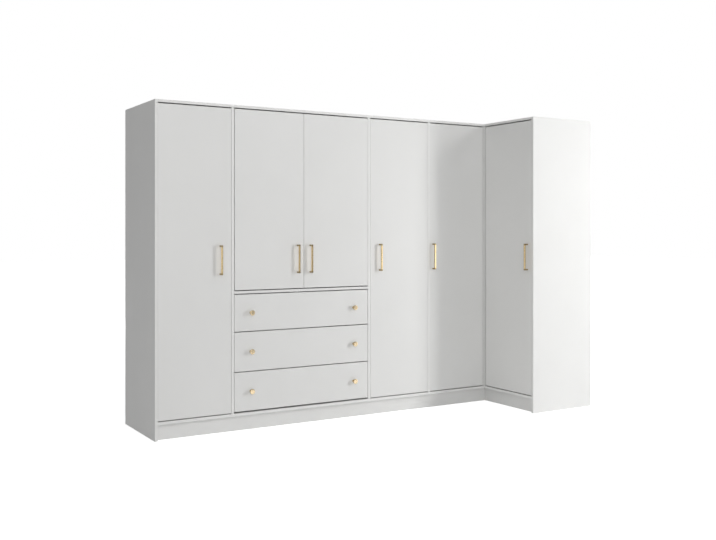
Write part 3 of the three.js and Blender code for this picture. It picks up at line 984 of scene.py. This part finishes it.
def hanging_rails():
    """Tubes with a screwed flange at each upright; the corner rail's free end hangs in a bracket."""
    for name in ("left_hanging_rail", "right_hanging_rail", "corner_hanging_rail"):
        low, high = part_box(name)
        length = high.x - low.x
        seat = Vector((low.x, (low.y + high.y) / 2, low.z + FLANGE_RADIUS))
        bm = bmesh.new()
        profile = [(RAIL_BORE, 0), *flange_profile(0, 1)]
        add_flange_screws(bm, seat + RIGHT * FLANGE_THICKNESS, RIGHT)
        if name == "corner_hanging_rail":
            profile.append((RAIL_RADIUS, length))
            add_rail_bracket(bm, seat, length, high.z)
        else:
            profile += reversed(flange_profile(length, -1))
            add_flange_screws(bm, seat + RIGHT * (length - FLANGE_THICKNESS), -RIGHT)
        profile += [(RAIL_BORE, length), (RAIL_BORE, 0)]
        add_lathe(bm, profile, facing(seat, RIGHT, UP), RAIL_SEGMENTS)
        piece = make_piece(f"turned_{name}", bm, nickel, "cabinet", FINE_EDGE_RADIUS)
        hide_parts(name)


def add_rail_bracket(bm, seat, length, shelf_height):
    """A bent strap under the shelf, a collar round the tube and a cap over its end."""
    top = shelf_height - seat.z
    bottom = -RAIL_RADIUS - STRAP_THICKNESS
    foot = length - STRAP_FOOT_LENGTH
    inner = length - STRAP_THICKNESS
    under = top - STRAP_THICKNESS
    outline = [(foot, top), (foot, under), (inner, under), (inner, bottom), (length, bottom), (length, top)]
    side_on = axes(seat, RIGHT, UP, -BACKWARD)
    add_prism(bm, eased(outline, STRAP_BEND), -STRAP_HALF_WIDTH, STRAP_HALF_WIDTH, side_on)
    for along in STRAP_SCREWS:
        place = seat + RIGHT * (foot + along) + UP * under
        add_screw(bm, facing(place, -UP, BACKWARD), SMALL_SCREW)
    for profile, along in ((collar_profile(), inner - COLLAR_LENGTH), (end_cap_profile(), length)):
        add_lathe(bm, profile, facing(seat + RIGHT * along, RIGHT, UP), RAIL_SEGMENTS)


def collar_profile():
    end = COLLAR_LENGTH
    rim = round_edge(COLLAR_RADIUS, 0, 1, FLANGE_EDGE)
    return [(RAIL_RADIUS, 0), *rim, (COLLAR_RADIUS, end), (RAIL_RADIUS, end), (RAIL_RADIUS, 0)]


def end_cap_profile():
    rim = round_edge(COLLAR_RADIUS, END_CAP_LENGTH, -1, FLANGE_EDGE)
    return [(0, 0), (COLLAR_RADIUS, 0), *reversed(rim), (0, END_CAP_LENGTH)]


def slide_outline(room):
    """The slide's section, outwards from the upright: head in the channel, stem, and foot on the drawer."""
    foot = room - SLIDE_FOOT
    lower = [(room, -SLIDE_HALF_HEIGHT), (foot, -SLIDE_HALF_HEIGHT), (foot, -SLIDE_STEM_HALF)]
    lower += [(SLIDE_HEAD_FAR, -SLIDE_STEM_HALF), (SLIDE_HEAD_FAR, -SLIDE_HEAD_HALF)]
    lower.append((SLIDE_HEAD_NEAR, -SLIDE_HEAD_HALF))
    return lower + [(out, -up) for out, up in reversed(lower)]


def drawer_slides():
    """A slide on each side of each drawer, and the screws that hold its channel to the upright."""
    for side, out in (("left", RIGHT), ("right", -RIGHT)):
        low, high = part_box(f"runner_set_{side}")
        seat = low.x if side == "left" else high.x
        screws = bmesh.new()
        for number, body in enumerate(DRAWER_BODIES, start=1):
            box_low, box_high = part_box(f"drawer_box_{number}")
            room = box_low.x - seat if side == "left" else seat - box_high.x
            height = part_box(f"drawer_front_{number}")[0].z + RUNNER_LIFT
            bm = bmesh.new()
            end_on = axes((seat, 0, height), out, UP, BACKWARD)
            add_prism(bm, slide_outline(room), low.y, high.y, end_on)
            make_piece(f"slide_{number}_{side}", bm, zinc, body, FINE_EDGE_RADIUS)
            for along in RUNNER_SCREWS:
                place = Vector((seat, low.y + along, height)) + out * RUNNER_WEB
                add_screw(screws, facing(place, out, UP), SMALL_SCREW)
        make_piece(f"runner_screws_{side}", screws, zinc, "cabinet")


def add_pin(bm, seat, out):
    """A shelf pin: a collar at the upright and a rounded peg."""
    profile = [
        (0, 0),
        (PIN_COLLAR_RADIUS, 0),
        (PIN_COLLAR_RADIUS, PIN_COLLAR_LENGTH),
        (PIN_RADIUS, PIN_COLLAR_LENGTH),
        *reversed(round_edge(PIN_RADIUS, PIN_LENGTH, -1, PIN_EDGE)),
        (0, PIN_LENGTH),
    ]
    add_lathe(bm, profile, facing(seat, out, UP), SCREW_SEGMENTS)


def shelf_pins():
    for name in ("left_hat_shelf", "middle_fold_shelf", "right_hat_shelf", "corner_hat_shelf"):
        low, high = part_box(name)
        bm = bmesh.new()
        for depth in (low.y + PIN_INSET, high.y - PIN_INSET):
            add_pin(bm, Vector((low.x, depth, low.z - PIN_RADIUS)), RIGHT)
            if name != "corner_hat_shelf":
                add_pin(bm, Vector((high.x, depth, low.z - PIN_RADIUS)), -RIGHT)
        make_piece(f"pins_{name}", bm, nickel, "cabinet")


def corner_shelf_angle():
    """A steel angle that carries the corner shelf's end along the wing's back."""
    low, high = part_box("corner_hat_shelf")
    near, far = low.y + ANGLE_INSET, high.y - ANGLE_INSET
    outline = [
        (0, 0),
        (0, -ANGLE_LEG),
        (-ANGLE_THICKNESS, -ANGLE_LEG),
        (-ANGLE_THICKNESS, -ANGLE_THICKNESS),
        (-ANGLE_LEG, -ANGLE_THICKNESS),
        (-ANGLE_LEG, 0),
    ]
    bm = bmesh.new()
    add_prism(bm, outline, -far, -near, axes((high.x, 0, low.z), RIGHT, UP, -BACKWARD))
    for k in range(ANGLE_SCREWS):
        along = near + (far - near) * (k + 1) / (ANGLE_SCREWS + 1)
        under = Vector((high.x - ANGLE_LEG / 2, along, low.z - ANGLE_THICKNESS))
        beside = Vector((high.x - ANGLE_THICKNESS, along, low.z - ANGLE_LEG / 2))
        add_screw(bm, facing(under, -UP, BACKWARD), SMALL_SCREW)
        add_screw(bm, facing(beside, -RIGHT, UP), SMALL_SCREW)
    make_piece("corner_shelf_angle", bm, zinc, "cabinet", FINE_EDGE_RADIUS)


def bay_ends():
    """Where each bay's inner faces stand along X, from the uprights' own boxes."""
    uprights = ("left_side_panel", "left_divider", "right_divider", "corner_divider")
    boxes = [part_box(name) for name in uprights]
    return [(left[1].x, right[0].x) for left, right in zip(boxes, boxes[1:])]


def divider_middles():
    boxes = [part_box(name) for name in ("left_divider", "right_divider", "corner_divider")]
    return [(low.x + high.x) / 2 for low, high in boxes]


def cam_caps():
    """Caps over the connectors, under the top and on the bottom, near each upright."""
    bm = bmesh.new()
    rim = round_edge(CAP_RADIUS, CAP_HEIGHT, -1, CAP_EDGE)
    profile = [(0, 0), (CAP_RADIUS, 0), *reversed(rim), (0, CAP_HEIGHT)]
    top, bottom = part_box("main_top_panel")[0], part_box("main_bottom_panel")[1]
    for start, end in bay_ends():
        for x in (start + CAP_INSET, end - CAP_INSET):
            for y in (top.y + CAP_FRONT_INSET, bottom.y - CAP_FRONT_INSET):
                add_lathe(bm, profile, facing(Vector((x, y, top.z)), -UP, RIGHT), SCREW_SEGMENTS)
                add_lathe(bm, profile, facing(Vector((x, y, bottom.z)), UP, RIGHT), SCREW_SEGMENTS)
    make_piece("cam_caps", bm, white_plastic, "cabinet")


def spaced(start, end, spacing):
    """Places from start to end, evenly, at about the given spacing."""
    count = max(1, round((end - start) / spacing))
    return [start + (end - start) * k / count for k in range(count + 1)]


def back_screws(name, sheet, across, out, lines):
    """Screws round a sheet's edges and along upright lines between its ends, on its outer face."""
    low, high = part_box(sheet)
    start, end = low.dot(across) + BACK_SCREW_INSET, high.dot(across) - BACK_SCREW_INSET
    bottom, top = low.z + BACK_SCREW_INSET, high.z - BACK_SCREW_INSET
    places = {(along, up) for along in spaced(start, end, BACK_SCREW_SPACING) for up in (bottom, top)}
    for up in spaced(bottom, top, BACK_SCREW_SPACING)[1:-1]:
        places |= {(along, up) for along in (start, end, *lines)}
    bm = bmesh.new()
    for along, up in sorted(places):
        seat = across * along + out * high.dot(out) + UP * up
        add_screw(bm, facing(seat, out, UP), BACK_SCREW)
    make_piece(name, bm, zinc, "cabinet")


def back_strips():
    """Strips over the joints between the main back's sheets."""
    low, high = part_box("main_back_panel")
    left, middle, right = divider_middles()
    section = rectangle((-BACK_STRIP_HALF_WIDTH, 0), (BACK_STRIP_HALF_WIDTH, BACK_STRIP_HEIGHT))
    bm = bmesh.new()
    for x in ((left + middle) / 2, right + BACK_STRIP_BEYOND):
        strip = axes((x, high.y, 0), -RIGHT, BACKWARD, UP)
        bottom, top = low.z + BACK_STRIP_EDGE, high.z - BACK_STRIP_EDGE
        add_prism(bm, eased(section, BACK_STRIP_ROUND), bottom, top, strip)
    make_piece("back_strips_main", bm, white_plastic, "cabinet")


def backs():
    """What holds both backs, on their outside."""
    back_screws("back_screws_main", "main_back_panel", RIGHT, BACKWARD, divider_middles())
    back_strips()
    back_screws("back_screws_wing", "wing_back_panel", BACKWARD, RIGHT, [WING_BACK_MIDDLE])


def add_foot(bm, place, height):
    """An adjustable foot: base, nut, threaded stem, socket and plate, from the floor to the board."""
    profile = [
        (0, 0),
        (FOOT_BASE_RADIUS - FOOT_BASE_EDGE, 0),
        *round_edge(FOOT_BASE_RADIUS, 0, 1, FOOT_BASE_EDGE),
        (FOOT_BASE_RADIUS, FOOT_BASE_HEIGHT),
        (FOOT_NUT_RADIUS, FOOT_BASE_HEIGHT),
        (FOOT_NUT_RADIUS, FOOT_NUT_HEIGHT),
        (FOOT_STEM_RADIUS, FOOT_NUT_HEIGHT),
        (FOOT_STEM_RADIUS, FOOT_SOCKET_START),
        (FOOT_SOCKET_RADIUS, FOOT_SOCKET_START),
        (FOOT_SOCKET_RADIUS, height - FOOT_PLATE_THICKNESS),
        (FOOT_PLATE_RADIUS, height - FOOT_PLATE_THICKNESS),
        (FOOT_PLATE_RADIUS, height),
        (0, height),
    ]
    add_lathe(bm, profile, Matrix.Translation(place), FOOT_SEGMENTS)


def feet():
    """Feet under the bottoms, in from the plinths, the backs and the ends."""
    bm = bmesh.new()
    low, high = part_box("main_bottom_panel")
    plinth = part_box("main_plinth")[1].y
    for x in (low.x + FOOT_INSET, *divider_middles(), high.x - FOOT_INSET):
        for y in (plinth + FOOT_INSET, high.y - FOOT_INSET):
            add_foot(bm, (x, y, 0), low.z)
    low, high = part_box("wing_bottom_panel")
    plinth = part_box("wing_plinth")[1].x
    for x in (plinth + FOOT_INSET, high.x - FOOT_INSET):
        add_foot(bm, (x, low.y + FOOT_INSET, 0), low.z)
    make_piece("feet", bm, black_plastic, "cabinet")


def camera():
    data = bpy.data.cameras.new("camera")
    data.sensor_fit = "HORIZONTAL"
    data.sensor_width = SENSOR_WIDTH_MM
    data.lens = FOCAL_PX / PHOTO_WIDTH_PX * data.sensor_width
    data.shift_x = (PHOTO_WIDTH_PX / 2 - CENTRE_X_PX) / PHOTO_WIDTH_PX
    data.shift_y = (HORIZON_Y_PX - PHOTO_HEIGHT_PX / 2) / PHOTO_WIDTH_PX
    made = put("camera", data, CAMERA_PLACE)
    made.rotation_euler = (math.pi / 2, 0, -CAMERA_TURN)
    bpy.context.scene.camera = made


def area_lamp(name, place, aim, size, power):
    """A rectangular lamp; those kept out of the gloss aren't mirrored in the object."""
    data = bpy.data.lights.new(name, "AREA")
    data.shape = "RECTANGLE"
    data.size, data.size_y = size
    data.energy = power
    lamp = put(name, data, place)
    lamp.visible_camera = False
    lamp.visible_glossy = name not in LAMPS_OUT_OF_GLOSS
    lamp.rotation_euler = (Vector(aim) - Vector(place)).to_track_quat("-Z", "Y").to_euler()


def reflection_card(name, place, size, glow):
    """An upright card that faces the doors and that only reflections see."""
    material, tree, shader = principled(name)
    shader.inputs["Base Color"].default_value = BLACK
    shader.inputs["Specular IOR Level"].default_value = 0.0
    shader.inputs["Emission Color"].default_value = WHITE
    shader.inputs["Emission Strength"].default_value = glow
    bm = bmesh.new()
    wide, tall = size[0] / 2, size[1] / 2
    bm.faces.new([bm.verts.new((x, 0, z)) for x, z in rectangle((-wide, -tall), (wide, tall))])
    card = put_mesh(name, bm, material, place)
    card.visible_camera = card.visible_diffuse = False
    card.visible_shadow = card.visible_transmission = False


def seen_directly(tree):
    """1 for camera, glossy and transmission rays, and 0 for light that falls on the object."""
    rays = node(tree, "ShaderNodeLightPath").outputs
    shown = maths(tree, "MAXIMUM", rays["Is Camera Ray"], rays["Is Glossy Ray"])
    return maths(tree, "MAXIMUM", shown, rays["Is Transmission Ray"])


def world():
    """White where it is seen, and a weaker light where it falls on the object."""
    made = bpy.data.worlds.new("studio")
    bpy.context.scene.world = made
    made.use_nodes = True
    tree = made.node_tree
    lit = tree.nodes["Background"]
    lit.inputs["Color"].default_value = WHITE
    lit.inputs["Strength"].default_value = AMBIENT_STRENGTH
    shown = node(tree, "ShaderNodeBackground", {"Color": WHITE, "Strength": 1.0})
    mix = node(tree, "ShaderNodeMixShader", {0: seen_directly(tree)})
    tree.links.new(lit.outputs[0], mix.inputs[1])
    tree.links.new(shown.outputs[0], mix.inputs[2])
    tree.links.new(mix.outputs[0], tree.nodes["World Output"].inputs["Surface"])


def floor_white():
    """White that glows where it is seen, brighter far off, and takes the object's shadow."""
    material, tree, shader = principled("floor_white")
    shader.inputs["Base Color"].default_value = FLOOR_COLOUR
    shader.inputs["Roughness"].default_value = 1.0
    shader.inputs["Specular IOR Level"].default_value = 0.0
    place = node(tree, "ShaderNodeTexCoord").outputs["Object"]
    away = node(tree, "ShaderNodeVectorMath", {0: place}, operation="LENGTH").outputs["Value"]
    strength = remap(tree, away, FLOOR_GLOW_NEAR, FLOOR_GLOW_FAR, (FLOOR_NEAR, FLOOR_FAR))
    glow = node(tree, "ShaderNodeEmission", {"Color": WHITE})
    tree.links.new(maths(tree, "MULTIPLY", seen_directly(tree), strength), glow.inputs["Strength"])
    both = node(tree, "ShaderNodeAddShader")
    tree.links.new(shader.outputs[0], both.inputs[0])
    tree.links.new(glow.outputs[0], both.inputs[1])
    tree.links.new(both.outputs[0], tree.nodes["Material Output"].inputs["Surface"])
    return material


def floor():
    bm = bmesh.new()
    bmesh.ops.create_grid(bm, x_segments=1, y_segments=1, size=FLOOR_HALF)
    put_mesh("floor", bm, floor_white())


dress_boards()
dress_metal()
hinges()
handle_screws()
knobs()
hanging_rails()
drawer_slides()
shelf_pins()
corner_shelf_angle()
cam_caps()
backs()
feet()
camera()
world()
floor()
for name, (place, aim, size, power) in LAMPS.items():
    area_lamp(name, place, aim, size, power)
for name, (place, size, glow) in CARDS.items():
    reflection_card(name, place, size, glow)
bpy.context.scene.view_settings.view_transform = "Standard"
